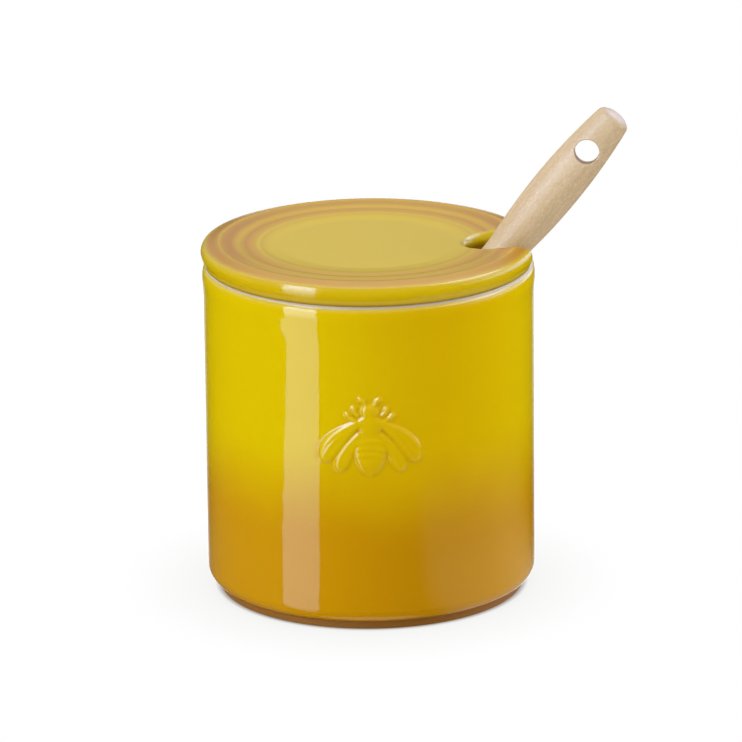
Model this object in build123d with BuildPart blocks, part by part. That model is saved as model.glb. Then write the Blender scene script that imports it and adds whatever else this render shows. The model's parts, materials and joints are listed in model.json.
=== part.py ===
from build123d import *

import os
from math import cos, radians, sin, sqrt, tan

# A honey pot: a stoneware pot, a lift-off lid with a notch for the dipper, and a dipper with a
# beech handle and a ribbed silicone head on a nylon stem. Millimetres, +Z up. The origin is on
# the pot's axis, on the surface that it stands on. The lid's notch opens towards +X.

# Pot
pot_radius = 50.0          # straight part of the wall, outside
pot_height = 101.5         # to the top of the rim
wall = 4.5
floor_thickness = 7.0
floor_cove = 10.0          # inside, where the wall meets the floor
base_round = 5.5           # outside, under the wall
foot_inset = 3.2           # foot ring's outside, in from the wall
foot_height = 2.2          # also how far the glazed underside is off the table
foot_width = 4.6
lip_swell = 0.3            # how far the wall swells out below the rim
lip_depth = 13.0           # length of the swelling
shoulder_width = 1.3       # rounded glazed shoulder, across and down
shoulder_depth = 3.8
bare_land_height = 0.85    # unglazed band above the shoulder
rim_edge = 1.5             # rounding of the rim's inner edge

# Lid
lid_overhang = 0.6         # past the straight wall
lid_height = 6.95          # from the pot's rim to the outer ridge
lid_top_round = 2.4
lid_bottom_round = 1.6
ridge_count = 3
ridge_inset = 5.3          # outer ridge, in from the lid's edge
ridge_pitch = 6.25
ridge_fall = 0.52          # each ridge is lower than the one outside it
ridge_blend = 4.0          # radius that rounds the outer ridge
edge_slope = 14.7          # degrees, from the outer ridge down to the edge
valley_depth = 0.7
valley_run = 1.0           # steep side of a valley, next to the ridge outside it
notch_width = 15.8
notch_length = 21.0        # from the lid's edge to the notch's round end
notch_corner = 3.0         # where the notch meets the lid's edge, seen from above
ring_clearance = 0.8       # locating ring inside the pot's wall
ring_width = 3.0
ring_depth = 4.5
ring_chamfer = 0.6

# Dipper
lean = 49.4                # degrees above level
heading = 9.9              # degrees, its way in plan, from +X towards +Y
handle_turn = -16.7        # degrees, the hanging hole turned about the dipper's axis
side_shift = -1.86         # where it crosses the rim, along Y
handle_length = 100.0
handle_above_rim = 59.9    # from where it crosses the rim to its tip
neck_radius = 5.65
belly_radius = 7.25
belly_drop = 29.0          # widest place, down from the tip
belly_arc = 182.0          # radius of the barrel's long arc
tip_dome = 1.8
tip_round = 2.6
neck_blend = 20.0
handle_end_round = 0.6
hole_radius = 3.7
hole_drop = 14.7           # hanging hole, down from the tip
hole_chamfer = 0.3
socket_depth = 24.0
stem_radius = 3.0
stem_clearance = 0.05      # running fit of the stem in the handle
stem_end_gap = 0.5         # above the stem, in the socket
stem_end_wall = 5.0        # silicone below the stem
stem_chamfer = 0.8
collar_radius = 5.0
collar_height = 2.4
collar_count = 3
collar_pitch = 8.0
head_radius = 13.5
head_length = 36.0
core_radius = 8.6
rib_end = 1.9              # solid ends of the head, past the ribs
groove_count = 7
groove_width = 2.0
rib_round = 0.5
moulded_gap = 0.02         # silicone on nylon
rest_gap = 0.3             # dipper off the rim and off the pot's wall

# Sizes that follow from these
inner_radius = pot_radius - wall
foot_radius = pot_radius - foot_inset
lip_radius = pot_radius + lip_swell
land_radius = lip_radius - shoulder_width
shoulder_height = pot_height - bare_land_height
lid_radius = pot_radius + lid_overhang
lid_top = pot_height + lid_height
ridge_radius = lid_radius - ridge_inset
dish_radius = ridge_radius - ridge_count * ridge_pitch
centre_height = lid_top - ridge_count * ridge_fall
edge_height = lid_top - ridge_inset * tan(radians(edge_slope))
notch_middle = lid_radius - notch_length + notch_width / 2
ring_radius = inner_radius - ring_clearance

# The dipper leans on the rounded inner edge of the rim. Its axis there is found from the
# distance between the axis and the middle of that rounding.
lean_sin = sin(radians(lean))
lean_cos = cos(radians(lean))
rim_to_axis = neck_radius + rest_gap + rim_edge
rim_crossing = Vector(inner_radius + rim_edge - rim_to_axis / lean_sin, side_shift, pot_height - rim_edge)
dipper_dir = Vector(lean_cos * cos(radians(heading)), lean_cos * sin(radians(heading)), lean_sin)

# The dipper slides down from the rim until its head's ovoid meets the pot's wall or floor,
# whichever comes first. The ovoid reaches this far sideways and down from its middle.
head_reach = sqrt((head_length / 2 * lean_cos) ** 2 + (head_radius * lean_sin) ** 2)
head_depth = sqrt((head_length / 2 * lean_sin) ** 2 + (head_radius * lean_cos) ** 2)
head_offset = inner_radius - rest_gap - head_reach
crossing_flat = Vector(rim_crossing.X, rim_crossing.Y, 0)
way_back = crossing_flat.dot(dipper_dir)
drop_to_wall = (
    way_back + sqrt(way_back**2 - lean_cos**2 * (crossing_flat.dot(crossing_flat) - head_offset**2))
) / lean_cos**2
drop_to_floor = (rim_crossing.Z - floor_thickness - rest_gap - head_depth) / lean_sin
head_drop = min(drop_to_wall, drop_to_floor)
rib_pitch = (head_length - 2 * rib_end) / groove_count

# Along the dipper, stations count from the shoulder where the handle meets the silicone neck.
rim_station = handle_length - handle_above_rim
head_station = rim_station - head_drop
stem_bottom = head_station - head_length / 2 + stem_end_wall
stem_top = socket_depth - stem_end_gap
belly_station = handle_length - belly_drop
neck_top = belly_station - sqrt(belly_arc**2 - (belly_arc - belly_radius + neck_radius) ** 2)
tip_station = handle_length - tip_dome
tip_radius = belly_radius - belly_arc + sqrt(belly_arc**2 - (tip_station - belly_station) ** 2)
hole_station = handle_length - hole_drop

# The dipper's pieces are drawn in a plane through its axis: x across, y along it, and the
# hanging hole square to it.
shoulder_point = rim_crossing - dipper_dir * rim_station
level_dir = Vector(-sin(radians(heading)), cos(radians(heading)), 0)
hole_dir = level_dir.rotate(Axis((0, 0, 0), dipper_dir), handle_turn)
dipper_plane = Plane(origin=shoulder_point, x_dir=dipper_dir.cross(hole_dir), z_dir=hole_dir)
dipper_axis = Axis(shoulder_point, dipper_dir)


def corner(sketch, across, up):
    # the sketch's corner nearest to a point
    return sketch.vertices().sort_by_distance(Vector(across, up))[0]


def ridge_top(index):
    # radius and height of one ridge of the lid, counted from the outside
    return ridge_radius - index * ridge_pitch, lid_top - index * ridge_fall


def notch_shape(growth, mode=Mode.ADD):
    # the notch from above: a round end, then straight out past the lid's edge
    with Locations((notch_middle, 0)):
        Circle(notch_width / 2 + growth, mode=mode)
        Rectangle(lid_radius, notch_width + 2 * growth, align=(Align.MIN, Align.CENTER), mode=mode)


def stem_shape(growth, mode=Mode.ADD):
    # half of the stem along its length: the rod, and the collars inside the head
    with Locations((0, stem_bottom - growth)):
        rod_length = stem_top - stem_bottom + 2 * growth
        Rectangle(stem_radius + growth, rod_length, align=(Align.MIN, Align.MIN), mode=mode)
    with Locations((0, head_station)), GridLocations(0, collar_pitch, 1, collar_count):
        collar = collar_height + 2 * growth
        Rectangle(collar_radius + growth, collar, align=(Align.MIN, Align.CENTER), mode=mode)


# Pot: one turned section, a body on a foot ring
with BuildPart() as pot:
    with BuildSketch(Plane.XZ) as pot_section:
        with BuildLine():
            Polyline(
                (land_radius, shoulder_height),
                (land_radius, pot_height),
                (inner_radius, pot_height),
                (inner_radius, floor_thickness),
                (0, floor_thickness),
                (0, foot_height),
                (pot_radius, foot_height),
                (pot_radius, shoulder_height - shoulder_depth - lip_depth),
                (lip_radius, shoulder_height - shoulder_depth),
            )
            Spline(
                (lip_radius, shoulder_height - shoulder_depth),
                (land_radius, shoulder_height),
                tangents=((0, 1), (-1, 0)),
            )
        make_face()
        fillet(corner(pot_section, pot_radius, foot_height), base_round)
        fillet(corner(pot_section, inner_radius, floor_thickness), floor_cove)
        fillet(corner(pot_section, inner_radius, pot_height), rim_edge)
        with Locations((foot_radius, 0)):
            Rectangle(foot_width, foot_height + base_round / 2, align=(Align.MAX, Align.MIN))
    revolve(axis=Axis.Z)
pot.part.label = "pot"

# Lid: a dished plate with an open notch, its edges rounded before the valleys are turned into
# it. Its sections are drawn on the side away from the notch, so that no seam crosses the notch.
lid_plane = Plane(origin=(0, 0, 0), x_dir=(-1, 0, 0), z_dir=(0, 1, 0))
with BuildPart() as lid:
    with BuildSketch(lid_plane) as lid_section:
        with BuildLine():
            Polyline(
                (0, pot_height),
                (lid_radius, pot_height),
                (lid_radius, edge_height),
                (ridge_radius, lid_top),
                (dish_radius, centre_height),
                (0, centre_height),
                close=True,
            )
        make_face()
        fillet(corner(lid_section, ridge_radius, lid_top), ridge_blend)
    revolve(axis=Axis.Z)

    with BuildSketch(Plane.XY.offset(pot_height)):
        notch_shape(0)
    extrude(amount=lid_height, mode=Mode.SUBTRACT)

    rim_corners = lid.edges().filter_by(Axis.Z).filter_by(lambda edge: edge.center().X > notch_middle)
    fillet(rim_corners.group_by(Axis.X)[-1], notch_corner)
    outline = lid.edges().filter_by(lambda edge: edge.center().Z > pot_height + lid_height / 2)
    fillet(outline.filter_by(lambda edge: edge.bounding_box().max.X > dish_radius), lid_top_round)
    fillet(lid.faces().sort_by(Axis.Z)[0].edges(), lid_bottom_round)

    for index in range(ridge_count):
        outer_radius, outer_top = ridge_top(index)
        inner_ridge, inner_top = ridge_top(index + 1)
        with BuildSketch(lid_plane):
            with BuildLine():
                Polyline(
                    (outer_radius, outer_top + valley_depth),
                    (outer_radius, outer_top),
                    (outer_radius - valley_run, outer_top - valley_depth),
                    (inner_ridge, inner_top),
                    (inner_ridge, outer_top + valley_depth),
                    close=True,
                )
            make_face()
        revolve(axis=Axis.Z, mode=Mode.SUBTRACT)

    with BuildSketch(Plane.XY.offset(pot_height)):
        Circle(ring_radius)
        Circle(ring_radius - ring_width, mode=Mode.SUBTRACT)
        notch_shape(lid_bottom_round, mode=Mode.SUBTRACT)
    extrude(amount=-ring_depth)
    ring_foot = lid.faces().sort_by(Axis.Z)[0]
    chamfer(ring_foot.edges().filter_by(GeomType.CIRCLE), ring_chamfer)
lid.part.label = "lid"

# Stem: a rod whose upper end is the handle's tenon
with BuildPart() as dipper_stem:
    with BuildSketch(dipper_plane):
        stem_shape(0)
    revolve(axis=dipper_axis)
    chamfer(dipper_stem.edges().sort_by(dipper_axis)[-1], stem_chamfer)
dipper_stem.part.label = "dipper_stem"

# Head: an ovoid cut into ribs down to its core, with the neck, hollow for the stem
with BuildPart() as dipper_head:
    with BuildSketch(dipper_plane) as head_section:
        with Locations((0, head_station)):
            Ellipse(head_radius, head_length / 2)
            with GridLocations(0, rib_pitch, 1, groove_count):
                Rectangle(2 * head_radius, groove_width, mode=Mode.SUBTRACT)
        fillet(head_section.vertices(), rib_round)
        with Locations((0, head_station)):
            Ellipse(core_radius, head_length / 2 - groove_width)
        Rectangle(2 * neck_radius, -head_station, align=(Align.CENTER, Align.MAX))
        split(bisect_by=Plane.YZ)
        stem_shape(moulded_gap, mode=Mode.SUBTRACT)
    revolve(axis=dipper_axis)
dipper_head.part.label = "dipper_head"

# Handle: a turned barrel on a straight neck, with a hanging hole and a socket for the stem
with BuildPart() as dipper_handle:
    with BuildSketch(dipper_plane) as handle_section:
        with BuildLine():
            Polyline((-tip_radius, tip_station), (0, 0), (neck_radius, 0), (neck_radius, neck_top))
            ThreePointArc((neck_radius, neck_top), (belly_radius, belly_station), (tip_radius, tip_station))
            ThreePointArc((tip_radius, tip_station), (0, handle_length), (-tip_radius, tip_station))
        make_face()
        fillet(corner(handle_section, neck_radius, neck_top), neck_blend)
        fillet(corner(handle_section, neck_radius, 0), handle_end_round)
        fillet(corner(handle_section, tip_radius, tip_station), tip_round)
        split(bisect_by=Plane.YZ)
    revolve(axis=dipper_axis)
    with BuildSketch(dipper_plane):
        with Locations((0, hole_station)):
            Circle(hole_radius)
    extrude(amount=2 * belly_radius, both=True, mode=Mode.SUBTRACT)
    hole_wall = dipper_handle.faces().filter_by(GeomType.CYLINDER).sort_by(dipper_axis)[-1]
    chamfer(hole_wall.edges().filter_by(GeomType.LINE, reverse=True), hole_chamfer)
    with BuildSketch(Plane(origin=shoulder_point, z_dir=dipper_dir)):
        Circle(stem_radius + stem_clearance)
    extrude(amount=socket_depth, mode=Mode.SUBTRACT)
dipper_handle.part.label = "dipper_handle"

os.makedirs("parts", exist_ok=True)
for piece in (pot, lid, dipper_handle, dipper_stem, dipper_head):
    export_step(piece.part, f"parts/{piece.part.label}.step")
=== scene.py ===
import json
import math

import bpy
import numpy as np
from mathutils import Matrix, Vector

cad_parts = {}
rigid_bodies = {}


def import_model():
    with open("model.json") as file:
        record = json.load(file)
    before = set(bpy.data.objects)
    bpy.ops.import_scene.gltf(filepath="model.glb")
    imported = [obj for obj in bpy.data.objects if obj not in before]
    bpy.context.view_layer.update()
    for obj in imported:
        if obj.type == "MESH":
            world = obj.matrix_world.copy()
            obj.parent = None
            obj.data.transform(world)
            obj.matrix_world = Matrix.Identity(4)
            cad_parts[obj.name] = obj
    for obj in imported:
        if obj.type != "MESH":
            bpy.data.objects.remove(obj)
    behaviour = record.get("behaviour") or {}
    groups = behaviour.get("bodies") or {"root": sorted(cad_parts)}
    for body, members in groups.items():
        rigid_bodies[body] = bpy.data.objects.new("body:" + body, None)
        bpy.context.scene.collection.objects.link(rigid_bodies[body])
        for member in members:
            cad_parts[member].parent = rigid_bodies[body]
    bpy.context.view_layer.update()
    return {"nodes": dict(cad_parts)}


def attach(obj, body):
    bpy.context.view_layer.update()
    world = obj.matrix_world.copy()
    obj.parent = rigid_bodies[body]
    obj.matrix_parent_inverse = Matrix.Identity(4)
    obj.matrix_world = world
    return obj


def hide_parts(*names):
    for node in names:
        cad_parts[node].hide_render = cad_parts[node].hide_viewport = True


# A stoneware honey pot with a lift-off lid and a wooden dipper. The pot and the lid are worked
# out here as numpy surfaces, in millimetres; the dipper's pieces are the frame's own.

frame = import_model()
mm = 0.001
print("frame loaded")


def arc(across, up, radius, start, end, count):
    # a centre plus a radius times (cosine, sine) of evenly spaced turns, in degrees
    turns = np.radians(np.linspace(start, end, count))
    return np.column_stack((across + radius * np.cos(turns), up + radius * np.sin(turns)))


def run(start, end, count):
    # evenly spaced points from start to end, both left out
    share = np.linspace(0, 1, count + 2)[1:-1, None]
    return np.array(start) * (1 - share) + np.array(end) * share


def ease(value, low, high):
    # 0 below low, 1 above high and the smooth cubic 3t^2 - 2t^3 between
    share = np.clip((value - low) / (high - low), 0, 1)
    return share * share * (3 - 2 * share)


def bellTaps(reach, spread):
    # weights exp(-(k / spread)^2 / 2) for the steps k from -reach to reach, made to add up to 1
    taps = np.exp(-0.5 * (np.arange(-reach, reach + 1) / spread) ** 2)
    return taps / taps.sum()


def bellMean(values, step, spread):
    # each of a line of values becomes the bell-weighted mean of its neighbours; past an end they
    # carry on turned half round it, so that a straight line stays straight
    reach = int(3 * spread / step)
    padded = np.pad(values, reach, mode="reflect", reflect_type="odd")
    return np.convolve(padded, bellTaps(reach, spread / step), mode="valid")


def gridFaces(rows, columns, offset=0):
    # each grid cell joins a point to the next along both ways; the columns close into a ring
    row = np.arange(rows - 1)[:, None] * columns
    column = np.arange(columns)[None, :]
    nextColumn = (column + 1) % columns
    corners = (row + column, row + nextColumn, row + columns + nextColumn, row + columns + column)
    return np.stack(corners, axis=-1).reshape(-1, 4) + offset


def capFaces(first, columns, pole, reverse=False):
    # triangles from a ring's points to one pole
    ring = first + np.arange(columns)
    following = first + (np.arange(columns) + 1) % columns
    order = (pole, ring, following) if reverse else (pole, following, ring)
    return np.stack(np.broadcast_arrays(*order), axis=-1)


def addObject(name, data):
    # a new object in the scene
    piece = bpy.data.objects.new(name, data)
    bpy.context.scene.collection.objects.link(piece)
    return piece


def makeMesh(name, points, quads, triangles, values):
    # points in mm, faces as arrays of point numbers, values as one number for each point
    loops = np.concatenate((quads.ravel(), triangles.ravel())).astype(np.int32)
    sizes = np.concatenate((np.full(len(quads), 4), np.full(len(triangles), 3))).astype(np.int32)
    starts = np.concatenate(([0], np.cumsum(sizes)[:-1])).astype(np.int32)
    mesh = bpy.data.meshes.new(name)
    mesh.vertices.add(len(points))
    mesh.vertices.foreach_set("co", (points * mm).astype(np.float32).ravel())
    mesh.loops.add(len(loops))
    mesh.loops.foreach_set("vertex_index", loops)
    mesh.polygons.add(len(sizes))
    mesh.polygons.foreach_set("loop_start", starts)
    mesh.polygons.foreach_set("use_smooth", np.ones(len(sizes), bool))
    mesh.update(calc_edges=True)
    mesh.validate()
    for label, numbers in values.items():
        mesh.attributes.new(label, "FLOAT", "POINT").data.foreach_set("value", numbers.astype(np.float32))
    return addObject(name, mesh)


bee = {
    "height": 62.2,         # its middle, above the table
    "raise": 1.15,          # how far it stands out from the wall
    "halfWidth": 15.6,      # the patch that it is drawn in
    "halfHeight": 14.0,
    "border": 0.3,          # the patch's edge, which stays flat
    "grain": 0.18,          # spacing of the mesh there
    "soften": 0.3,          # glaze rounds every edge by about this much
    "pool": 0.55,           # glaze is thin or deep against a mean this wide
}


def blob(across, up, middle, halfAcross, halfUp, power):
    # a dome on an ellipse: the root of 1 less a power of the distance from its middle
    away = (across / halfAcross) ** 2 + ((up - middle) / halfUp) ** 2
    return np.sqrt(np.clip(1 - away ** (power / 2), 0, 1))


def stroke(across, up, points, thin, thick):
    # a rounded line: the root of 1 less the square of distance over a radius that grows along it
    top = np.zeros_like(across)
    steps = len(points) - 1
    for index in range(steps):
        (x0, y0), (x1, y1) = points[index], points[index + 1]
        length = (x1 - x0) ** 2 + (y1 - y0) ** 2
        share = np.clip(((across - x0) * (x1 - x0) + (up - y0) * (y1 - y0)) / length, 0, 1)
        away = np.hypot(across - x0 - share * (x1 - x0), up - y0 - share * (y1 - y0))
        radius = thin + (thick - thin) * (index + share) / steps
        top = np.maximum(top, np.sqrt(np.clip(1 - (away / radius) ** 2, 0, 1)))
    return top


def wing(across, up, root, tip, width, bow, veins):
    # a leaf along a bowed line from root to tip: 1 less a power of the distance from the line over
    # the half width, with veins pressed in at set shares of that width
    length = math.hypot(tip[0] - root[0], tip[1] - root[1])
    c, s = (tip[0] - root[0]) / length, (tip[1] - root[1]) / length
    along = ((across - root[0]) * c + (up - root[1]) * s) / length
    inside = np.clip(along, 0.001, 0.999)
    side = -(across - root[0]) * s + (up - root[1]) * c - bow * np.sin(np.pi * inside)
    half = width * (0.22 + inside**0.8) * (1 - inside**5) ** 0.5
    reach = np.abs(side) / half
    shape = np.where((along > 0) & (along < 1), np.clip(1 - reach**2.4, 0, 1) ** 0.6, 0)
    for place in veins:
        vein = (side / half - place * (0.3 + 0.7 * inside)) / 0.1
        shape = shape - 0.16 * np.exp(-(vein**2)) * (shape > 0.3)
    return np.clip(shape, 0, 1)


def beeRelief(across, up):
    # body, wings, legs and feelers, each with its share of the raise, joined as the fifth root of
    # the sum of their fifth powers; the left side mirrors the right
    mirror = np.abs(across)
    taper = 1 - 0.016 * np.clip(-up - 4.5, 0, 20) ** 1.35 / 1.5
    abdomen = blob(across / taper, up, -5.4, 4.9, 7.6, 2.7)
    for index in range(5):
        groove = up - 1.0 + 2.15 * index + 0.045 * across**2 - 0.6
        abdomen = abdomen - 0.13 * np.exp(-((groove / 0.34) ** 2)) * (abdomen > 0.25)
    thorax = blob(across, up, 3.1, 3.9, 3.4, 2.4)
    face = blob(across, up, 7.2, 2.8, 2.3, 2.2)
    foreWing = wing(mirror, up, (2.5, 4.3), (14.5, -8.2), 3.5, 1.3, (-0.25, 0.4))
    hindWing = wing(mirror, up, (3.0, 0.6), (9.6, -11.4), 2.7, 0.5, (0.1,))
    feeler = stroke(mirror, up, ((1.4, 9.4), (1.9, 10.5), (2.9, 11.0)), 0.4, 0.8)
    frontLeg = stroke(mirror, up, ((3.4, 6.0), (4.5, 6.9), (4.9, 8.2)), 0.45, 0.8)
    middleLeg = stroke(mirror, up, ((4.2, 4.4), (5.7, 5.0), (6.8, 6.2)), 0.45, 0.8)
    shares = (
        (abdomen, 1.0), (thorax, 1.0), (face, 0.95), (foreWing, 0.85), (hindWing, 0.65),
        (feeler, 0.7), (frontLeg, 0.7), (middleLeg, 0.7),
    )
    return sum((part * share) ** 5 for part, share in shares) ** 0.2


def soften(heights, spread):
    # each height becomes the bell-weighted mean of its neighbours, down and then across
    reach = int(3 * spread) + 1
    taps = list(zip(bellTaps(reach, spread), range(-reach, reach + 1)))
    for axis in (0, 1):
        heights = sum(weight * np.roll(heights, step, axis) for weight, step in taps)
    return heights


pot = {
    "radius": 50.0,
    "height": 101.5,
    "inside": 45.5,
    "floor": 7.0,
    "cove": 10.0,
    "land": 49.3,           # the rim's outer edge
    "rimInside": 1.5,       # the rim's roundings
    "rimOutside": 0.3,
    "shoulder": (           # heights and radii from there to the straight wall, widest at the lip
        (101.0, 49.32), (100.7, 49.62), (100.2, 49.93), (99.6, 50.09), (99.0, 50.19),
        (98.3, 50.27), (97.6, 50.3), (97.0, 50.31), (96.4, 50.29), (95.6, 50.24),
        (94.6, 50.16), (93.4, 50.08), (92.0, 50.03), (90.0, 50.0),
    ),
    "soften": 0.4,          # how far the shoulder's corners are rounded
    "bareTo": 100.65,       # the glaze starts below this height
    "baseRound": 4.9,
    "underside": 2.2,
    "undersideRound": 0.5,
    "footOutside": 46.2,
    "footInside": 42.2,
    "footFillet": 0.35,     # where the foot meets the base
    "footRound": 0.45,      # where it meets the table
    "columnsAway": 132,     # round the pot, away from the bee
}


def shoulderLine():
    # straight lines through the shoulder's points, rounded by a bell-weighted mean; the rows are
    # closer together above the change
    heights, radii = np.array(pot["shoulder"]).T
    step, change = 0.02, 96.0
    fine = np.arange(heights[-1] - 2, heights[0], step)
    smooth = bellMean(np.interp(fine, heights[::-1], radii[::-1]), step, pot["soften"])
    up = np.concatenate((np.linspace(heights[0], change, 34), np.linspace(change, heights[-1], 14)[1:]))
    return np.column_stack((np.interp(up, fine, smooth), up))


def potProfile():
    # the turned section from the middle of the floor inside, over the rim, to the underside
    radius, inside, floor, cove = pot["radius"], pot["inside"], pot["floor"], pot["cove"]
    rimIn, rimOut, footRound = pot["rimInside"], pot["rimOutside"], pot["footRound"]
    height, underside, underRound = pot["height"], pot["underside"], pot["undersideRound"]
    baseCentre, baseTop = radius - pot["baseRound"], underside + pot["baseRound"]
    filletCentre = pot["footOutside"] + pot["footFillet"]
    meet = -math.degrees(math.acos((filletCentre - baseCentre) / pot["baseRound"]))
    meetUp = baseTop + pot["baseRound"] * math.sin(math.radians(meet))
    beeTop, beeFoot = bee["height"] + bee["halfHeight"], bee["height"] - bee["halfHeight"]
    beeRows = int(2 * bee["halfHeight"] / bee["grain"])
    beeUp = np.linspace(beeTop, beeFoot, beeRows)
    return np.concatenate((
        run((0, floor), (inside - cove, floor), 10),
        arc(inside - cove, floor + cove, cove, -90, 0, 16),
        run((inside, floor + cove), (inside, height - rimIn), 18),
        arc(inside + rimIn, height - rimIn, rimIn, 180, 90, 10),
        arc(pot["land"] - rimOut, height - rimOut, rimOut, 90, 0, 6),
        shoulderLine(),
        run((radius, pot["shoulder"][-1][0]), (radius, beeTop), 3),
        np.column_stack((np.full(beeRows, radius), beeUp)),
        run((radius, beeFoot), (radius, baseTop), 12),
        arc(baseCentre, baseTop, pot["baseRound"], 0, meet, 14),
        arc(filletCentre, meetUp - 0.3, pot["footFillet"], 120, 180, 4),
        arc(pot["footOutside"] - footRound, footRound, footRound, 0, -90, 6),
        arc(pot["footInside"] + footRound, footRound, footRound, 270, 180, 6),
        arc(pot["footInside"] - underRound, underside - underRound, underRound, 0, 90, 6),
        run((pot["footInside"] - underRound, underside), (0, underside), 10),
    ))


def buildPot():
    # each profile point (r, z) turned by an angle a from the front: (r sin a, -r cos a, z), and
    # the bee adds its height to r; station is the length along the profile, thin is how far a
    # point stands above the mean of those round it
    profile = potProfile()
    half = bee["halfWidth"] / pot["radius"]
    beeColumns = int(2 * bee["halfWidth"] / bee["grain"])
    angles = np.concatenate((
        np.linspace(-half, half, beeColumns, endpoint=False),
        np.linspace(half, 2 * math.pi - half, pot["columnsAway"], endpoint=False),
    ))
    radius = np.repeat(profile[:, :1], len(angles), axis=1)
    up = np.repeat(profile[:, 1:], len(angles), axis=1)
    turn = np.where(angles > math.pi, angles - 2 * math.pi, angles)
    across = np.broadcast_to(turn * pot["radius"], radius.shape)
    fromBee = np.abs(profile[:, 1] - bee["height"])
    onWall = (profile[:, 0] > pot["radius"] - 0.01) & (fromBee < bee["halfHeight"] - bee["border"])
    near = onWall[:, None] & (np.abs(across) < bee["halfWidth"] - bee["border"])
    relief = np.where(near, beeRelief(across, up - bee["height"]), 0) * bee["raise"]
    rows = np.flatnonzero(onWall)
    rows = slice(rows[0] - 2, rows[-1] + 3)
    columns = slice(0, beeColumns)
    raised = np.zeros_like(relief)
    thin = np.zeros_like(relief)
    raised[rows, columns] = soften(relief[rows, columns], bee["soften"] / bee["grain"])
    broad = soften(raised[rows, columns], bee["pool"] / bee["grain"])
    thin[rows, columns] = (raised[rows, columns] - broad) / bee["raise"]
    radius = radius + raised
    points = np.stack((radius * np.sin(angles), -radius * np.cos(angles), up), axis=-1).reshape(-1, 3)
    steps = np.hypot(*np.diff(profile, axis=0).T)
    station = np.concatenate(([0], np.cumsum(steps)))
    count, columnCount = radius.shape
    points = np.concatenate((points, [[0, 0, pot["floor"]], [0, 0, pot["underside"]]]))
    quads = gridFaces(count, columnCount)
    triangles = np.concatenate((
        capFaces(0, columnCount, count * columnCount),
        capFaces((count - 1) * columnCount, columnCount, count * columnCount + 1, reverse=True),
    ))
    quads, triangles = quads[:, ::-1], triangles[:, ::-1]
    ends = np.array((0, station[-1]))
    values = {
        "station": np.concatenate((np.repeat(station, columnCount), ends)),
        "thin": np.concatenate((thin.ravel(), np.zeros(2))),
    }
    return makeMesh("potBody", points, quads, triangles, values), profile, station


potBody, potLine, potStation = buildPot()
print("pot body:", len(potBody.data.vertices), "points")


lid = {
    "seat": 101.5,
    "top": 108.45,
    "radius": 50.6,
    "topRound": 2.4,        # roundings in the notch
    "bottomRound": 1.6,
    "rimTop": (1.0, 14.7, 50.0),        # the rim's own section: radius, and the tilts it spans
    "rimTurn": (2.8, 50.0, 84.0),
    "rimSide": (3.0, 84.0, 110.0),
    "rimTaper": (67.8, 110.0, 112.0),
    "rimFoot": (0.6, 112.0, 180.0),
    "edgeRows": 12,         # mesh rows on each of those
    "ridge": 45.3,          # the outer ridge
    "pitch": 6.25,
    "fall": 0.52,
    "ridges": 3,
    "valleyDepth": 0.32,
    "firstValley": 0.45,    # the inmost valley's share of that depth
    "valleyRun": 1.0,
    "edgeSlope": 14.7,      # degrees
    "soften": 0.7,          # glaze over the ridges
    "notchHalf": 7.9,
    "notchMiddle": 37.5,
    "corner": 3.0,
    "inner": 20.0,          # inside this the mesh rows are plain circles
    "topRows": (96, 14),    # mesh rows outside and inside it
    "footRows": (18, 5),
    "ringOutside": 44.7,
    "ringInside": 41.7,
    "ringFoot": 97.0,
    "ringRound": 0.6,
    "ringRoot": 0.4,        # how far the ring reaches into the lid
    "ringGap": 9.5,         # the ring stops this far from the notch's middle line
    "ringEnd": 0.35,        # length and height that its ends lose to their rounding
    "ringShrink": 0.14,
}


def lidTopHeight(radius):
    # straight lines between ridges and valleys, with a short steep side outside each valley,
    # rounded by a bell-weighted mean
    r, z = [0.0], [lid["top"] - lid["ridges"] * lid["fall"]]
    for index in range(lid["ridges"], 0, -1):
        outer = lid["ridge"] - (index - 1) * lid["pitch"]
        outerTop = lid["top"] - (index - 1) * lid["fall"]
        depth = lid["valleyDepth"] * (lid["firstValley"] if index == lid["ridges"] else 1.0)
        r += [outer - lid["pitch"], outer - lid["valleyRun"], outer]
        z += [lid["top"] - index * lid["fall"], outerTop - depth, outerTop]
    end, step = 60.0, 0.05
    r.append(end)
    z.append(lid["top"] - (end - lid["ridge"]) * math.tan(math.radians(lid["edgeSlope"])))
    fine = np.arange(0, end, step)
    return np.interp(radius, fine, bellMean(np.interp(fine, r, z), step, lid["soften"]))


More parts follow.
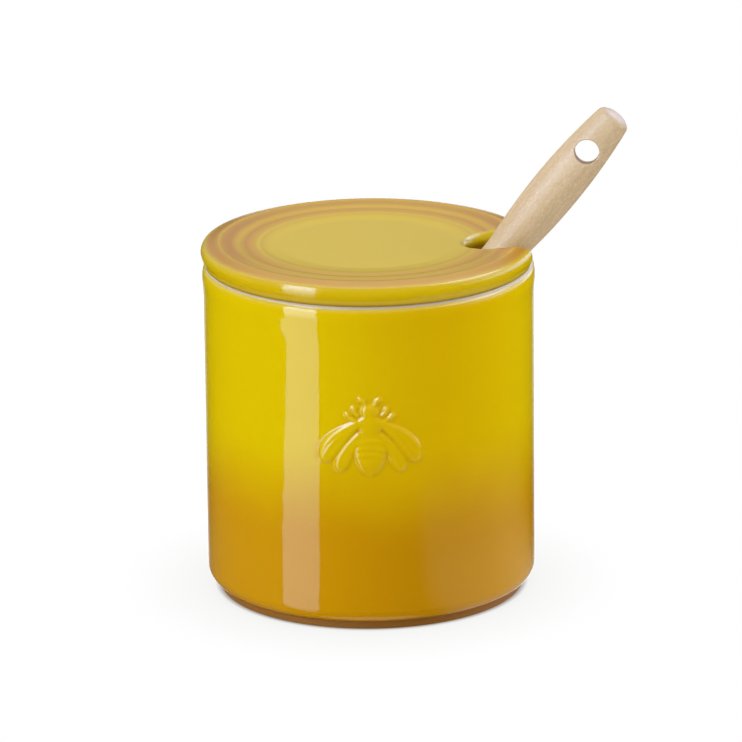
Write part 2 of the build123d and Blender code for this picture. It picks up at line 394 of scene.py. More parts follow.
def lidOutline():
    # half of the outline from the notch's tip round to the far side: points, inward directions
    # and the angle that each reaches on the inner circle
    tipReach, sideReach, cornerReach = 38, 62, 75       # degrees
    cornerUp = lid["notchHalf"] + lid["corner"]
    cornerAcross = math.sqrt((lid["radius"] - lid["corner"]) ** 2 - cornerUp**2)
    cornerTurn = math.degrees(math.atan2(cornerUp, cornerAcross))
    tipTurns = np.radians(np.linspace(180, 90, 26))
    tip = np.column_stack((np.cos(tipTurns), np.sin(tipTurns)))
    side = np.linspace(lid["notchMiddle"], cornerAcross, 16)[1:-1]
    bendTurns = np.radians(np.linspace(-90, cornerTurn, 18))
    bend = np.column_stack((np.cos(bendTurns), np.sin(bendTurns)))
    rimTurns = np.radians(np.linspace(cornerTurn, 180, 128))[1:]
    rim = np.column_stack((np.cos(rimTurns), np.sin(rimTurns)))
    points = np.concatenate((
        tip * lid["notchHalf"] + (lid["notchMiddle"], 0),
        np.column_stack((side, np.full(len(side), lid["notchHalf"]))),
        bend * lid["corner"] + (cornerAcross, cornerUp),
        rim * lid["radius"],
    ))
    inward = np.concatenate((tip, np.tile((0.0, 1.0), (len(side), 1)), -bend, -rim))
    reach = np.concatenate((
        np.linspace(0, tipReach, len(tip)),
        np.linspace(tipReach, sideReach, len(side) + 2)[1:-1],
        np.linspace(sideReach, cornerReach, len(bend)),
        cornerReach + (np.degrees(rimTurns) - cornerTurn) * (180 - cornerReach) / (180 - cornerTurn),
    ))
    # the other half is the mirror image, without the two points on the middle line
    mirror = slice(-2, 0, -1)
    points = np.concatenate((points, points[mirror] * (1, -1)))
    inward = np.concatenate((inward, inward[mirror] * (1, -1)))
    reach = np.concatenate((reach, -reach[mirror]))
    return points, inward, np.radians(reach)


def lidRows(points, inward, reach, margin, counts):
    # rows from the outline's inset line to the middle: radius and angle both change evenly from
    # the inset line to the inner circle, so that rows are circles away from the notch
    start = points + inward * margin
    radius = np.hypot(start[:, 0], start[:, 1])
    turn = np.arctan2(start[:, 1], start[:, 0])
    far = np.abs(reach) > math.pi - 1e-6
    turn = np.where(far, math.pi, turn)
    target = np.where(far, math.pi, reach)
    share = np.linspace(0, 1, counts[0])[1:, None]
    rowRadius = radius * (1 - share) + lid["inner"] * share
    rowTurn = turn * (1 - share) + target * share
    inside = np.linspace(1, 0, counts[1] + 1)[1:-1, None] * lid["inner"]
    rowRadius = np.concatenate((rowRadius, np.broadcast_to(inside, (len(inside), len(radius)))))
    rowTurn = np.concatenate((rowTurn, np.broadcast_to(target, (len(inside), len(radius)))))
    return np.stack((rowRadius * np.cos(rowTurn), rowRadius * np.sin(rowTurn)), axis=-1)


def rimSection():
    # arcs, each starting where the last ends, in three groups (top, side and foot): insets from
    # the widest line and heights above the seat
    across, up, insets, heights = 0.0, 0.0, [], []
    for key in ("rimTop", "rimTurn", "rimSide", "rimTaper", "rimFoot"):
        radius, start, end = lid[key]
        turns = np.radians(np.linspace(start, end, lid["edgeRows"]))
        x, z = radius * np.sin(turns), radius * np.cos(turns)
        insets.append(across + x - x[0])
        heights.append(up + z - z[0])
        across, up = insets[-1][-1], heights[-1][-1]
    widest = max(row.max() for row in insets)

    def grouped(rows):
        return [np.concatenate((rows[0], rows[1][1:])), np.concatenate((rows[2], rows[3][1:])), rows[4]]

    return grouped([widest - row for row in insets]), grouped([row - up for row in heights])


def buildLid():
    # the top is a height over its plan; at the outline it drops on the rim's section or, in the
    # notch, on two quarter circles, blended into each other round the corners
    points, inward, reach = lidOutline()
    onRim = ease(np.hypot(points[:, 0], points[:, 1]), lid["radius"] - 2.2, lid["radius"] - 0.02)
    rimInset, rimUp = rimSection()
    turns = np.linspace(0, math.pi / 2, lid["edgeRows"] * 2 - 1)
    notchTop = lid["topRound"] * (1 - np.sin(turns))
    notchDrop = lid["topRound"] * (1 - np.cos(turns))
    turns = turns[::2]
    notchFoot = lid["bottomRound"] * (1 - np.cos(turns))
    notchRise = lid["bottomRound"] * (1 - np.sin(turns))
    shares = np.linspace(0, 1, lid["edgeRows"] * 2 - 1)
    middle = lid["top"] - lid["ridges"] * lid["fall"]
    rows = []

    def planAt(inNotch, atRim):
        plan = points + inward * (inNotch * (1 - onRim) + atRim * onRim)[:, None]
        return plan, lidTopHeight(np.hypot(plan[:, 0], plan[:, 1]))

    margin = notchTop[0] * (1 - onRim) + rimInset[0][0] * onRim
    for plan in lidRows(points, inward, reach, margin[:, None], lid["topRows"])[::-1]:
        rows.append(np.column_stack((plan, lidTopHeight(np.hypot(plan[:, 0], plan[:, 1])))))
    edgeTop = planAt(notchTop[0], rimInset[0][0])[1]
    fit = (edgeTop - lid["seat"]) / rimUp[0][0]

    def addRow(plan, inNotch, up):
        # heights in the notch blend into heights on the rim
        heights = inNotch * (1 - onRim) + (lid["seat"] + up * fit) * onRim
        rows.append(np.column_stack((plan, heights)))

    for inNotch, drop, atRim, up in zip(notchTop, notchDrop, rimInset[0], rimUp[0]):
        plan, top = planAt(inNotch, atRim)
        addRow(plan, top - drop, up)
    wallTop, wallFoot = planAt(0, 0)[1] - lid["topRound"], lid["seat"] + lid["bottomRound"]
    for share, atRim, up in zip(shares[1:], rimInset[1][1:], rimUp[1][1:]):
        addRow(planAt(0, atRim)[0], wallTop * (1 - share) + wallFoot * share, up)
    for inNotch, rise, atRim, up in zip(notchFoot[1:], notchRise[1:], rimInset[2][1:], rimUp[2][1:]):
        addRow(planAt(inNotch, atRim)[0], lid["seat"] + rise, up)
    margin = notchFoot[-1] * (1 - onRim) + rimInset[2][-1] * onRim
    for plan in lidRows(points, inward, reach, margin[:, None], lid["footRows"]):
        rows.append(np.column_stack((plan, np.full(len(plan), lid["seat"]))))
    grid = np.stack(rows)
    count, columns = grid.shape[:2]
    body = np.concatenate((grid.reshape(-1, 3), [[0, 0, middle], [0, 0, lid["seat"]]]))
    quads = gridFaces(count, columns)[:, ::-1]
    triangles = np.concatenate((
        capFaces(0, columns, count * columns),
        capFaces((count - 1) * columns, columns, count * columns + 1, reverse=True),
    ))[:, ::-1]
    ringPoints, ringQuads, ringCaps = lidRing(len(body))
    points = np.concatenate((body, ringPoints))
    quads = np.concatenate((quads, ringQuads))
    triangles = np.concatenate((triangles, ringCaps))
    # how far each point lies from the notch's wall
    away = np.where(
        points[:, 0] < lid["notchMiddle"],
        np.hypot(points[:, 0] - lid["notchMiddle"], points[:, 1]),
        np.abs(points[:, 1]),
    ) - lid["notchHalf"]
    return makeMesh("lidPlate", points, quads, triangles, {"fromNotch": away * mm})


def lidRing(offset):
    # a rounded section carried round the lid from one side of the notch to the other; at its two
    # ends the section shrinks on a quarter ellipse, and a fan of triangles closes it
    outside, inside, rounding = lid["ringOutside"], lid["ringInside"], lid["ringRound"]
    foot, top = lid["ringFoot"], lid["seat"] + lid["ringRoot"]
    section = np.concatenate((
        arc(outside - rounding, foot + rounding, rounding, 0, -90, 6),
        arc(inside + rounding, foot + rounding, rounding, 270, 180, 6),
        [[inside, top], [outside, top]],
    ))
    middle = np.array(((outside + inside) / 2, top))
    length = 261.0      # its length in mm, nearly
    turns = np.linspace(0, math.pi / 2, 6)
    ends = np.concatenate((1 - np.cos(turns), np.linspace(1, 2, 3)[1:])) * lid["ringEnd"]
    steps = np.linspace(1.0, length - 1, 150)[1:-1]
    along = np.concatenate((ends, steps, (length - ends)[::-1])) / length
    shrink = np.ones(len(along))
    shrink[:6] = 1 - lid["ringShrink"] * (1 - np.sin(turns))
    shrink[-6:] = shrink[:6][::-1]
    shape = middle + (section - middle) * shrink[:, None, None]
    radius, up = shape[..., 0], shape[..., 1]
    endTurn = np.arcsin(lid["ringGap"] / radius)
    turn = endTurn + (2 * math.pi - 2 * endTurn) * along[:, None]
    points = np.stack((radius * np.cos(turn), radius * np.sin(turn), up), axis=-1).reshape(-1, 3)
    rows, columns = radius.shape
    quads = gridFaces(rows, columns, offset)
    caps = []
    for first, reverse in ((0, False), ((rows - 1) * columns, True)):
        ring = first + np.arange(columns)
        fan = np.stack((np.full(columns - 2, ring[0]), ring[1:-1], ring[2:]), axis=-1) + offset
        caps.append(fan if reverse else fan[:, ::-1])
    return points, quads, np.concatenate(caps)


lidPlate = buildLid()
print("lid plate:", len(lidPlate.data.vertices), "points")


def connect(wire, node, sockets):
    # each of the node's sockets gets its link or its plain value
    for name, value in sockets.items():
        if isinstance(value, Wire):
            wire.tree.links.new(value.socket, node.inputs[name])
        else:
            node.inputs[name].default_value = value


class Wire:
    # one socket of a node tree, which Python arithmetic turns into Math nodes
    def __init__(self, tree, socket=None):
        self.tree = tree
        self.socket = socket

    def node(self, kind, settings=None, inputs=None, output=0):
        # any other node: its type, its settings, then its sockets' values or links
        made = self.tree.nodes.new(kind)
        for name, value in (settings or {}).items():
            if name == "stops":
                ramp = made.color_ramp
                while len(ramp.elements) < len(value):
                    ramp.elements.new(0.5)
                for element, (place, colour) in zip(ramp.elements, value):
                    element.position = place
                    element.color = (*colour, 1.0)
            else:
                setattr(made, name, value)
        connect(self, made, inputs or {})
        return Wire(self.tree, made.outputs[output])

    def sum(self, operation, first, second):
        # one Math node
        return self.node("ShaderNodeMath", {"operation": operation}, {0: first, 1: second})

    def __add__(self, other):
        return self.sum("ADD", self, other)

    __radd__ = __add__

    def __sub__(self, other):
        return self.sum("SUBTRACT", self, other)

    def __rsub__(self, other):
        return self.sum("SUBTRACT", other, self)

    def __mul__(self, other):
        return self.sum("MULTIPLY", self, other)

    def __truediv__(self, other):
        return self.sum("DIVIDE", self, other)

    def __pow__(self, other):
        return self.sum("POWER", self, other)

    def smooth(self, low, high):
        # 0 below low, 1 above high and 3t^2 - 2t^3 between
        settings = {"interpolation_type": "SMOOTHSTEP"}
        inputs = {"Value": self, "From Min": low, "From Max": high}
        return self.node("ShaderNodeMapRange", settings, inputs)

    def clamp(self):
        # 0 below 0 and 1 above 1
        return self.node("ShaderNodeClamp", None, {"Value": self})

    def mix(self, first, second):
        # first colour times one less this share, plus second colour times it
        pair = [value if isinstance(value, Wire) else (*value, 1.0) for value in (first, second)]
        settings = {"data_type": "RGBA", "clamp_factor": True}
        return self.node("ShaderNodeMix", settings, {0: self, 6: pair[0], 7: pair[1]}, 2)

    def ramp(self, stops):
        # a colour on straight lines between stops of (place, colour)
        return self.node("ShaderNodeValToRGB", {"stops": stops}, {"Fac": self})


def emptyTree(owner):
    # the nodes of a material or of the world, none yet
    owner.use_nodes = True
    owner.node_tree.nodes.clear()
    return Wire(owner.node_tree)


def show(wire, socket, kind="ShaderNodeOutputMaterial"):
    # the socket becomes the surface
    output = wire.tree.nodes.new(kind)
    wire.tree.links.new(socket, output.inputs["Surface"])


def startMaterial(name):
    # a material with one shader, and the point being shaded, in metres
    material = bpy.data.materials.new(name)
    wire = emptyTree(material)
    shader = wire.tree.nodes.new("ShaderNodeBsdfPrincipled")
    show(wire, shader.outputs[0])
    return material, wire, wire.node("ShaderNodeTexCoord", output=3), shader


def noise(wire, place, scale, detail=2.0, roughness=0.5, distortion=0.0):
    # from 0 to 1 and mostly near a half, with about scale swings to the metre
    inputs = dict(Vector=place, Scale=scale, Detail=detail, Roughness=roughness, Distortion=distortion)
    return wire.node("ShaderNodeTexNoise", {"normalize": True}, inputs)


def stretched(wire, place, scales, turn=(0, 0, 0)):
    # the point scaled, then turned about the origin
    return wire.node("ShaderNodeMapping", None, {"Vector": place, "Scale": scales, "Rotation": turn})


def bump(wire, height, distance, normal=None):
    # tilts the normal by the slope of height times distance, on top of a normal tilted before
    inputs = {"Height": height, "Distance": distance}
    if normal is not None:
        inputs["Normal"] = normal
    return wire.node("ShaderNodeBump", None, inputs)


def parts(wire, place):
    # a vector's x, y and z
    split = wire.node("ShaderNodeSeparateXYZ", None, {0: place})
    return [Wire(wire.tree, output) for output in split.socket.node.outputs]


def attribute(wire, name):
    # the mesh's own value
    return wire.node("ShaderNodeAttribute", {"attribute_name": name}, output=2)


def tinted(wire, red, green, blue):
    # a colour out of three levels
    return wire.node("ShaderNodeCombineColor", None, {0: red, 1: green, 2: blue})


glaze = {
    "yellow": (0.80, 0.585, 0.0),
    "orange": (0.74, 0.47, 0.0),
    "amber": (0.65, 0.325, 0.001),
    "darkAmber": (0.55, 0.26, 0.001),
    "deep": (0.30, 0.105, 0.002),
    "inside": (0.76, 0.70, 0.58),
    "bare": (0.62, 0.52, 0.37),
    "barePale": (0.66, 0.57, 0.44),
    "roughness": 0.055,
    "amberFrom": 0.027,     # heights in metres: all amber below, all yellow above
    "amberTo": 0.060,
    "wave": 0.00016,        # depths in metres: the glaze's slow waves, the clay's grain and the
    "grain": 0.00012,       # bead where the glaze ends
    "bead": 0.00022,
}


def potStations():
    # stations of the glaze's edges, read off the profile
    onRim = np.flatnonzero(potLine[:, 1] > pot["height"] - 0.001)
    rimStart = potStation[onRim[0]]
    outside = np.flatnonzero((potLine[:, 0] > pot["land"] - 0.1) & (potLine[:, 1] < pot["bareTo"]))
    shoulder = potStation[outside[0]]
    low = np.flatnonzero(potLine[:, 1] < 0.5)
    return rimStart, shoulder, potStation[low[0]], potStation[low[-1]]


def bareClay(fine):
    # two close tones: the paler one's share is 0.4 plus 0.22 of a fine noise
    return (fine * 0.22 + 0.4).mix(glaze["bare"], glaze["barePale"])


def potGlaze():
    # each step mixes one more colour in, by a share that rises or falls smoothly with height, with
    # station (mm along the profile) or with the way that the wall faces
    material, wire, place, shader = startMaterial("potGlaze")
    x, y, z = parts(wire, place)
    station = attribute(wire, "station")
    thin = attribute(wire, "thin")
    rimStart, shoulder, footStart, footEnd = potStations()
    slow = noise(wire, place, 22.0)
    drift = noise(wire, stretched(wire, place, (1.0, 1.0, 0.35)), 60.0, 3.0)
    fine = noise(wire, place, 900.0, 3.0, 0.6)
    # amber low down, yellow above, with a soft uneven line between
    height = z + (slow - 0.5) * 0.016 + (drift - 0.5) * 0.006
    yellowShare = height.smooth(glaze["amberFrom"], glaze["amberTo"])
    # painted shade: warmer and more orange in front, a little to the right, where the glaze is less lit;
    # the share is the cosine from there, to the fifth power
    frontness = (y * -0.906 + x * 0.423) / 0.05
    frontShadeShare = frontness.clamp() ** 5.0
    tone = frontShadeShare.mix(glaze["yellow"], glaze["orange"])
    low = frontShadeShare.mix(glaze["amber"], glaze["darkAmber"])
    body = yellowShare.mix(low, tone)
    # amber pools where the wall is lower than its surroundings, pale edges where it is higher
    body = ((thin * -4.0).clamp() * 0.6).mix(body, glaze["amber"])
    body = ((thin * 3.0).clamp() * 0.35).mix(body, (0.86, 0.68, 0.05))
    # the glaze breaks to a paler line where it ends under the bare rim; above the foot it turns deep
    # brown, partly glaze pooled there and partly painted shade under the base's overhang
    lineEdge = station + (drift - 0.5) * 0.2 + frontness.clamp() ** 3.0 * 0.3
    lineEdge = lineEdge + (x * -20.0).smooth(0.2, 0.7) * 0.4
    paler = 1 - lineEdge.smooth(shoulder + 0.1, shoulder + 1.3)
    body = (paler * 0.4).mix(body, (0.82, 0.68, 0.16))
    footShade = station.smooth(footStart - 4.5, footStart - 2.7)
    body = (footShade * 0.85).mix(body, glaze["deep"])
    # bare clay on the rim, the band below it and the foot's contact ring; cream glaze inside
    clay = bareClay(fine)
    # painted light and shade on the clay: paler towards the right, darker and warmer in front, under the
    # lid's edge
    clay = ((x * 20.0).smooth(0.3, 0.85) * 0.9).mix(clay, (0.71, 0.66, 0.57))
    clay = (frontness.clamp() ** 2.0 * 0.35).mix(clay, (0.46, 0.36, 0.22))
    inside = (slow * 0.3).mix(glaze["inside"], (0.70, 0.62, 0.47))
    onRim = lineEdge.smooth(rimStart - 1.1, rimStart - 0.7)
    onRim = onRim * (1 - lineEdge.smooth(shoulder - 0.25, shoulder + 0.1))
    onFoot = station.smooth(footStart + 1.6, footStart + 1.9)
    onFoot = onFoot * (1 - station.smooth(footEnd, footEnd + 0.25))
    isInside = 1 - station.smooth(rimStart - 1.0, rimStart - 0.8)
    bare = (onRim + onFoot).clamp()
    surface = isInside.mix(body, inside)
    surface = bare.mix(surface, clay)
    roughness = bare * 0.62 + glaze["roughness"] + isInside * 0.12 + footShade * (1 - bare) * 0.6
    # slow waves, small ripples, the clay's grain and the bead, one on top of another
    waves = bump(wire, noise(wire, place, 75.0, 1.0), glaze["wave"] * 0.6)
    ripples = bump(wire, noise(wire, place, 240.0, 1.0), glaze["wave"] * 0.14, waves)
    grain = bump(wire, fine * bare, glaze["grain"], ripples)
    bead = bump(wire, lineEdge.smooth(shoulder - 0.1, shoulder + 0.9), glaze["bead"], grain)
    connect(wire, shader, {"Base Color": surface, "Roughness": roughness, "Normal": bead})
    return material


def lidGlaze():
    # rings of colour by radius; the lip and the edge's lower parts are mixed in by distance from
    # the notch's wall and by height, in metres
    material, wire, place, shader = startMaterial("lidGlaze")
    x, y, z = parts(wire, place)
    fromNotch = attribute(wire, "fromNotch")
    drift = noise(wire, place, 160.0)
    fine = noise(wire, place, 900.0, 3.0, 0.6)
    radius = (x * x + y * y) ** 0.5 + (drift - 0.5) * 0.0007
    yellow, plateau = (0.685, 0.495, 0.0), (0.785, 0.55, 0.0)
    line, tan = (0.59, 0.265, 0.012), (0.545, 0.245, 0.004)
    # the crests' colours are thinner yellow glaze plus a painted highlight
    crestAndHighlight, innerCrestAndHighlight = (0.69, 0.43, 0.004), (0.765, 0.53, 0.0)
    span = 0.052
    stops = (       # radii in mm
        (0.0, plateau), (29.8, plateau), (31.5, (0.74, 0.48, 0.003)),
        (32.3, (0.72, 0.44, 0.003)), (33.1, innerCrestAndHighlight), (34.2, (0.70, 0.40, 0.004)),
        (35.8, (0.66, 0.34, 0.004)), (37.0, line), (38.0, (0.67, 0.36, 0.004)),
        (39.1, crestAndHighlight), (40.3, (0.66, 0.34, 0.004)), (41.5, tan),
        (42.7, (0.55, 0.245, 0.008)), (43.8, line), (44.4, (0.62, 0.31, 0.006)),
        (45.0, crestAndHighlight), (45.8, (0.60, 0.29, 0.004)), (46.8, tan), (47.8, tan),
        (48.6, (0.60, 0.31, 0.002)), (49.6, yellow),
    )
    rings = (radius / span).ramp([(stop / (span * 1000), value) for stop, value in stops])
    # painted light: paler and warmer on the inner rings in front, where their slopes catch light; warmer
    # behind
    wide = radius * 1000
    front = (y * -20.0).smooth(0.2, 0.8) * wide.smooth(30.5, 33.0)
    outer = wide.smooth(43.5, 45.5)
    rings = (front * (0.85 - outer * 0.6)).mix(rings, (0.75, 0.46, 0.012))
    back = (y * 20.0).smooth(0.3, 0.85) * wide.smooth(34.0, 38.0)
    rings = (back * 0.45).mix(rings, (0.72, 0.42, 0.0))
    # thinner and yellow over the notch's rounding; darker towards the lower edge, partly thicker glaze
    # and partly painted shade where the edge turns down over the rim
    lip = 1 - fromNotch.smooth(0.0012, 0.0030)
    body = lip.mix(rings, yellow)
    side = 1 - z.smooth(0.1028, 0.1056)
    body = (side * 0.4).mix(body, (0.60, 0.40, 0.0))
    low = 1 - z.smooth(0.1017, 0.1027)
    body = (low * 0.75).mix(body, (0.28, 0.12, 0.003))
    # painted shade: the notch's wall turns dark brown low down, inside the notch
    inNotch = (1 - fromNotch.smooth(0.0, 0.0006)) * (1 - z.smooth(0.1035, 0.1058))
    body = (inNotch * 0.9).mix(body, (0.30, 0.12, 0.002))
    under = 1 - z.smooth(0.10152, 0.1017)
    body = under.mix(body, bareClay(fine))
    taper = 1 - z.smooth(0.1030, 0.1042)
    roughness = under * 0.42 + taper * 0.3 + z.smooth(0.1060, 0.1072) * 0.14 + glaze["roughness"]
    waves = bump(wire, noise(wire, place, 75.0, 1.0), glaze["wave"] * 0.35)
    grain = bump(wire, fine * under, glaze["grain"], waves)
    connect(wire, shader, {"Base Color": body, "Roughness": roughness, "Normal": grain})
    return material


dipper = {
    "lean": (0.641084, 0.111887, 0.759271),
    "light": (0.78, 0.62, 0.42),
    "mid": (0.70, 0.52, 0.315),
    "dark": (0.585, 0.405, 0.22),
    "endGrain": (0.66, 0.53, 0.46),
    "tip": 0.1595,          # how far along its lean its end lies
}


def beechWood():
    # noises stretched along the lean: broad bands, streaks, short flecks and fine pores, added up
    # to a tone or mixed in by shares; paler low down, pinker at the sawn end
    material, wire, place, shader = startMaterial("beechWood")
    direction = np.array(dipper["lean"])
    pitch = math.acos(direction[2])
    heading = math.atan2(direction[1], direction[0])
    turned = stretched(wire, place, (1, 1, 1), (0, 0, -heading))
    upright = stretched(wire, turned, (1, 1, 1), (0, -pitch, 0))
    broad = noise(wire, stretched(wire, upright, (110.0, 110.0, 12.0)), 1.0, 3.0, 0.55, 0.4)
    streak = noise(wire, stretched(wire, upright, (900.0, 900.0, 70.0)), 1.0, 3.0, 0.6, 0.2)
    fleck = noise(wire, stretched(wire, upright, (1500.0, 1500.0, 900.0)), 1.0, 3.0, 0.6, 0.6)
    pores = noise(wire, stretched(wire, upright, (4200.0, 4200.0, 1100.0)), 1.0, 2.0, 0.5)
    tone = (broad * 0.8 + streak * 0.35 + fleck * 0.25 - 0.2).clamp()
    wood = tone.ramp(((0.25, dipper["dark"]), (0.5, dipper["mid"]), (0.75, dipper["light"])))
    lightFleck = fleck.smooth(0.5, 0.72)
    wood = (lightFleck * 0.35).mix(wood, (0.88, 0.77, 0.58))
    darkFleck = 1 - fleck.smooth(0.28, 0.46)
    wood = (darkFleck * 0.3).mix(wood, (0.62, 0.42, 0.22))
    poreMask = 1 - pores.smooth(0.30, 0.42)
    wood = (poreMask * 0.18).mix(wood, (0.45, 0.29, 0.15))
    along = parts(wire, upright)[2]
    wood = ((1 - along.smooth(0.098, 0.122)) * 0.3).mix(wood, (0.90, 0.72, 0.46))
    wood = (along.smooth(0.136, 0.155) * 0.22).mix(wood, dipper["dark"])
    end = along.smooth(dipper["tip"] - 0.0026, dipper["tip"] - 0.0008)
    wood = (end * 0.6).mix(wood, dipper["endGrain"])
    relief = fleck * 0.35 + streak * 0.4 - poreMask * 0.3
    normal, roughness = bump(wire, relief, 0.00004), 0.44 + poreMask * 0.12
    connect(wire, shader, {"Base Color": wood, "Roughness": roughness, "Normal": normal})
    return material


def fineSkin(wire, shader, body, fine, roughness, swing):
    # a plain moulded skin: a roughness plus a share of a fine noise, which is its relief too
    normal = bump(wire, fine, 0.00001)
    connect(wire, shader, {"Base Color": body, "Roughness": fine * swing + roughness, "Normal": normal})


def nylonRod():
    # two milky whites, mixed by the fine noise
    material, wire, place, shader = startMaterial("nylonRod")
    fine = noise(wire, place, 1200.0)
    body = fine.mix((0.78, 0.75, 0.68), (0.84, 0.82, 0.76))
    fineSkin(wire, shader, body, fine, 0.36, 0.1)
    return material


def softSilicone():
    # two honey yellows, mixed by a slow noise
    material, wire, place, shader = startMaterial("softSilicone")
    fine = noise(wire, place, 1500.0)
    slow = noise(wire, place, 60.0)
    body = slow.mix((0.60, 0.37, 0.03), (0.68, 0.43, 0.05))
    fineSkin(wire, shader, body, fine, 0.42, 0.12)
    return material


def dress(piece, material):
    # the material goes into every slot, and into a new one where there is none
    if not piece.material_slots:
        piece.data.materials.append(material)
    for slot in piece.material_slots:
        slot.material = material


dress(potBody, potGlaze())
dress(lidPlate, lidGlaze())
nodes = frame["nodes"]
dress(nodes["dipper_handle"], beechWood())
dress(nodes["dipper_stem"], nylonRod())
dress(nodes["dipper_head"], softSilicone())
print("materials made")

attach(potBody, "pot")
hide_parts("pot")
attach(lidPlate, "lid")
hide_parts("lid")


studio = {
    "floor": (0.90, 0.90, 0.89),
    "floorPale": (0.91, 0.91, 0.90),
    "broadReach": 0.03,     # reach and share of the floor's shade round the pot
    "broadShade": 0.2,
    "tightReach": 0.0019,   # reach and power of the shade right beside it
    "tightPower": 1.9,
    "shade": (0.16, 0.11, 0.05),
    "stripTurn": 47.5,      # degrees to the left of the front
    "stripSpread": 24.5,    # degrees that it fills, seen from the pot
    "stripDistance": 1.2,
    "fillDistance": 1.45,   # the area lights; their radiances follow
    "topFill": 1.35,
    "leftFill": 2.05,
    "rightFill": 2.0,
    "backLeftFill": 1.7,
    "backRightFill": 1.0,
    "sideLow": 2.5,         # the panel at the right, low down and high up
    "sideHigh": 4.0,
}


def sheet(name, half, height, nodes):
    # a level square; nodes(wire, place) gives the shader that it shows
    corners = [(-half, -half, height), (half, -half, height), (half, half, height), (-half, half, height)]
    mesh = bpy.data.meshes.new(name)
    mesh.from_pydata(corners, [], [(0, 1, 2, 3)])
    piece = addObject(name, mesh)
    material = bpy.data.materials.new(name)
    wire = emptyTree(material)
    show(wire, nodes(wire, wire.node("ShaderNodeTexCoord", output=3)).socket)
    dress(piece, material)
    return piece


def floorPaint(wire, place):
    # two near whites, mixed by a slow noise
    soft = noise(wire, place, 3.0)
    body = soft.mix(studio["floor"], studio["floorPale"])
    return wire.node("ShaderNodeBsdfDiffuse", None, {"Color": body})


def addedLight(wire, level):
    # adds its light to whatever is seen through it
    tint = tinted(wire, level, level, level)
    light = wire.node("ShaderNodeEmission", None, {"Color": tint})
    clear = wire.node("ShaderNodeBsdfTransparent")
    return wire.node("ShaderNodeAddShader", None, {0: light, 1: clear})


def floorSeen(wire, place):
    # white times two shares: 1 less a part of the sky that is hidden within the broad reach, and
    # a power of the sky that is open within the tight one
    def openSky(reach):
        return wire.node("ShaderNodeAmbientOcclusion", {"samples": 16}, {"Distance": reach}, "AO")

    broad, tight = openSky(studio["broadReach"]), openSky(studio["tightReach"])
    openness = (1 - (1 - broad) * studio["broadShade"]) * (tight ** studio["tightPower"] * 0.9 + 0.1)
    body = openness.mix(studio["shade"], (1, 1, 1))
    return wire.node("ShaderNodeEmission", None, {"Color": body})


def tableSheen(wire, place):
    # the lit table near the pot, as its glaze mirrors it: a share that falls with distance, times
    # 0.5 at the right and 0.09 at the left; turns from the front, in radians
    x, y = parts(wire, place)[:2]
    away = (x * x + y * y) ** 0.5
    near = 1 - away.smooth(0.06, 0.23)
    sideways = wire.sum("ARCTAN2", x, y * -1.0)
    right = sideways.smooth(0.40, 0.68) * (1 - sideways.smooth(1.35, 2.2))
    left = (1 - sideways.smooth(-0.75, -0.3)) * sideways.smooth(-2.5, -1.8)
    level = near * (right * 0.5 + left * 0.09)
    return addedLight(wire, level)


def makeFloor():
    # one floor bounces light, one is seen, and gloss looks past both to the sheen sheet
    floor = sheet("paleFloor", 6.0, -0.00005, floorPaint)
    floor.visible_glossy = floor.visible_camera = False
    seen = sheet("floorSeen", 6.0, 0.0, floorSeen)
    seen.visible_glossy = seen.visible_diffuse = seen.visible_shadow = False
    sheen = sheet("tableSheen", 0.4, -0.0005, tableSheen)
    sheen.visible_camera = sheen.visible_diffuse = sheen.visible_shadow = False


def areaLight(name, place, size):
    # aimed at the pot's middle; its brightness is radiance, so its power is pi times its area
    # times that; gloss does not see it
    light = bpy.data.lights.new(name, "AREA")
    light.shape = "RECTANGLE"
    light.size, light.size_y = size
    light.energy = math.pi * size[0] * size[1] * studio[name]
    lamp = addObject(name, light)
    aim = (Vector((0, 0, 0.05)) - Vector(place)).to_track_quat("-Z", "Y")
    lamp.location = place
    lamp.rotation_euler = aim.to_matrix().to_euler()
    lamp.visible_camera = lamp.visible_glossy = False


def stripPanel():
    # a tall narrow lit panel, seen only as a highlight: at each height (up) its half width is the
    # spread's times half, moved aside by lean; its light grows with height in three smooth steps
    turn = math.radians(studio["stripTurn"])
    away = studio["stripDistance"]
    up = np.array((-1.5, -1.2, -0.75, -0.375, -0.28, 0.0, 0.3, 0.65, 1.0, 1.35, 1.7, 1.95))
    lean = np.array((0.16, 0.14, 0.105, 0.063, -0.016, 0.004, -0.01, 0.05, 0.115, 0.23, 0.37, 0.46))
    half = np.array((0.35, 0.6, 0.95, 1.1, 0.98, 0.92, 1.03, 1.0, 1.02, 1.08, 1.15, 1.2))
    half = away * math.tan(math.radians(studio["stripSpread"] / 2)) * half
    across = np.stack((lean - half, lean + half), axis=-1)
    x = -math.sin(turn) * away - math.cos(turn) * across
    y = -math.cos(turn) * away + math.sin(turn) * across
    points = np.stack((x, y, np.broadcast_to(up[:, None], x.shape)), axis=-1).reshape(-1, 3)
    rows = np.arange(len(up) - 1)[:, None] * 2 + np.array((0, 1, 3, 2))
    mesh = bpy.data.meshes.new("stripPanel")
    mesh.from_pydata(points.tolist(), [], rows.tolist())
    panel = addObject("stripPanel", mesh)
    material, wire, place, shader = startMaterial("stripLight")
    height = parts(wire, place)[2]
    level = height.smooth(-1.5, -0.3) * 1.6 + height.smooth(-0.3, 0.05) * 3.2
    level = level + height.smooth(0.0, 1.2) * 6.3 + 0.9
    cool = height.smooth(0.2, 1.0)
    red, green, blue = 0.58 - cool * 0.05, 0.76 - cool * 0.03, cool * 0.2 + 1
    light = tinted(wire, level * red, level * green, level * blue)
    connect(wire, shader, {"Base Color": (0, 0, 0, 1), "Emission Color": light, "Emission Strength": 1.0})
    dress(panel, material)
    panel.visible_camera = panel.visible_diffuse = panel.visible_shadow = False


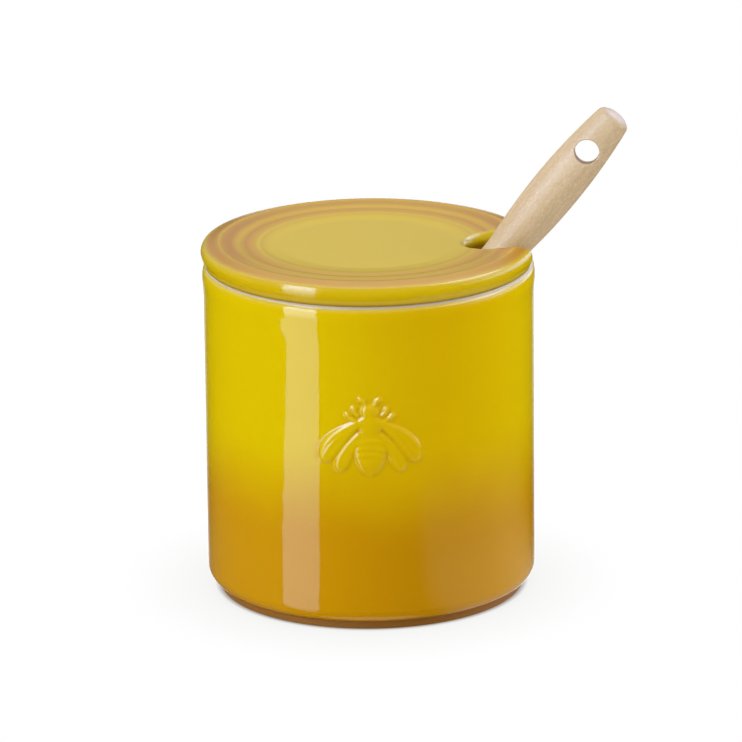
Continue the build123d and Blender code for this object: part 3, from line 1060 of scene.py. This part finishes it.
def makeLights():
    # one light above and four round the pot, at turns in degrees to the right of the front
    stripPanel()
    away = studio["fillDistance"]
    areaLight("topFill", (0, -0.7, away), (2.4, 2.0))
    turns = {"leftFill": -58.0, "rightFill": 84.0, "backLeftFill": -142.0, "backRightFill": 125.0}
    for name, turn in turns.items():
        across, along = math.sin(math.radians(turn)), -math.cos(math.radians(turn))
        areaLight(name, (across * away, along * away, 0.55), (1.4, 1.3))


def makeWorld():
    # what gloss sees of the room, by the direction's x, y and z: dark in front and below, and
    # behind a level that rises with height
    world = bpy.context.scene.world = bpy.data.worlds.new("studioAir")
    world.cycles_visibility.diffuse = False
    wire = emptyTree(world)
    x, y, z = parts(wire, wire.node("ShaderNodeTexCoord", output=0))
    rising = z.smooth(-0.3, 0.1) * 0.10 + z.smooth(0.05, 0.36) * 0.45 + z.smooth(0.42, 0.8) * 1.2 + 0.06
    high = z.smooth(-0.25, 0.1)
    behind = y.smooth(0.80, 0.95) * (1 - high) + y.smooth(0.05, 0.65) * high
    edge = y.smooth(0.88, 0.95) * (1 - z.smooth(-0.29, -0.24)) * 0.6
    ahead = z.smooth(-0.1, 0.2) * (1 - behind) * (y.smooth(-0.8, 0.1) * 0.35 + 0.1)
    level = rising * behind + edge + ahead + 0.01
    # a narrow upright strip low down behind, and a patch straight below
    narrow = (1 - x * x * 45.0).clamp() * y.smooth(0.5, 0.8)
    narrow = narrow * z.smooth(-0.6, -0.45) * (1 - z.smooth(-0.2, 0.02))
    under = 1 - z.smooth(-0.985, -0.93)
    level = level + narrow * 1.6 + under * 0.75
    # the bluish panel at the right, between two turns from the front, with a low and a high part
    sideways = wire.sum("ARCTAN2", x, y * -1.0)
    side = sideways.smooth(1.05, 1.8) * (1 - sideways.smooth(2.6, 2.85)) * (1 - z.smooth(0.87, 0.96))
    sideLow = z.smooth(-0.15, 0.2) * (1 - z.smooth(0.2, 0.4) * 0.65) * studio["sideLow"]
    side = side * (sideLow + z.smooth(0.5, 0.66) * studio["sideHigh"])
    colours = tinted(wire, level + side * 0.6, level + side * 0.78, level + side * 1.35)
    light = wire.node("ShaderNodeBackground", None, {"Color": colours})
    show(wire, light.socket, "ShaderNodeOutputWorld")


view = {
    "distance": 2.0,
    "targetUp": 0.05,       # how high on the pot's axis it is aimed
    "pitch": 17.55,
    "roll": -0.62,
    "lens": 318.9,
    "shift": (0.0012, 0.0707),
}


def makeCamera():
    # away from that aim by the distance, at a pitch above it, then rolled and shifted
    pitch, roll = math.radians(view["pitch"]), math.radians(view["roll"])
    camera = bpy.data.cameras.new("view")
    camera.lens = view["lens"]
    camera.sensor_width = 36.0
    camera.shift_x, camera.shift_y = view["shift"]
    camera.clip_start, camera.clip_end = 0.05, 50.0
    holder = addObject("view", camera)
    turn = Matrix.Rotation(math.pi / 2 - pitch, 3, "X") @ Matrix.Rotation(roll, 3, "Z")
    away, up = view["distance"] * math.cos(pitch), view["distance"] * math.sin(pitch)
    holder.location = (0, -away, view["targetUp"] + up)
    holder.rotation_euler = turn.to_euler()
    bpy.context.scene.camera = holder


makeFloor()
makeLights()
makeWorld()
makeCamera()
bpy.context.scene.view_settings.view_transform = "Standard"
bpy.context.scene.view_settings.look = "None"
print("studio made")
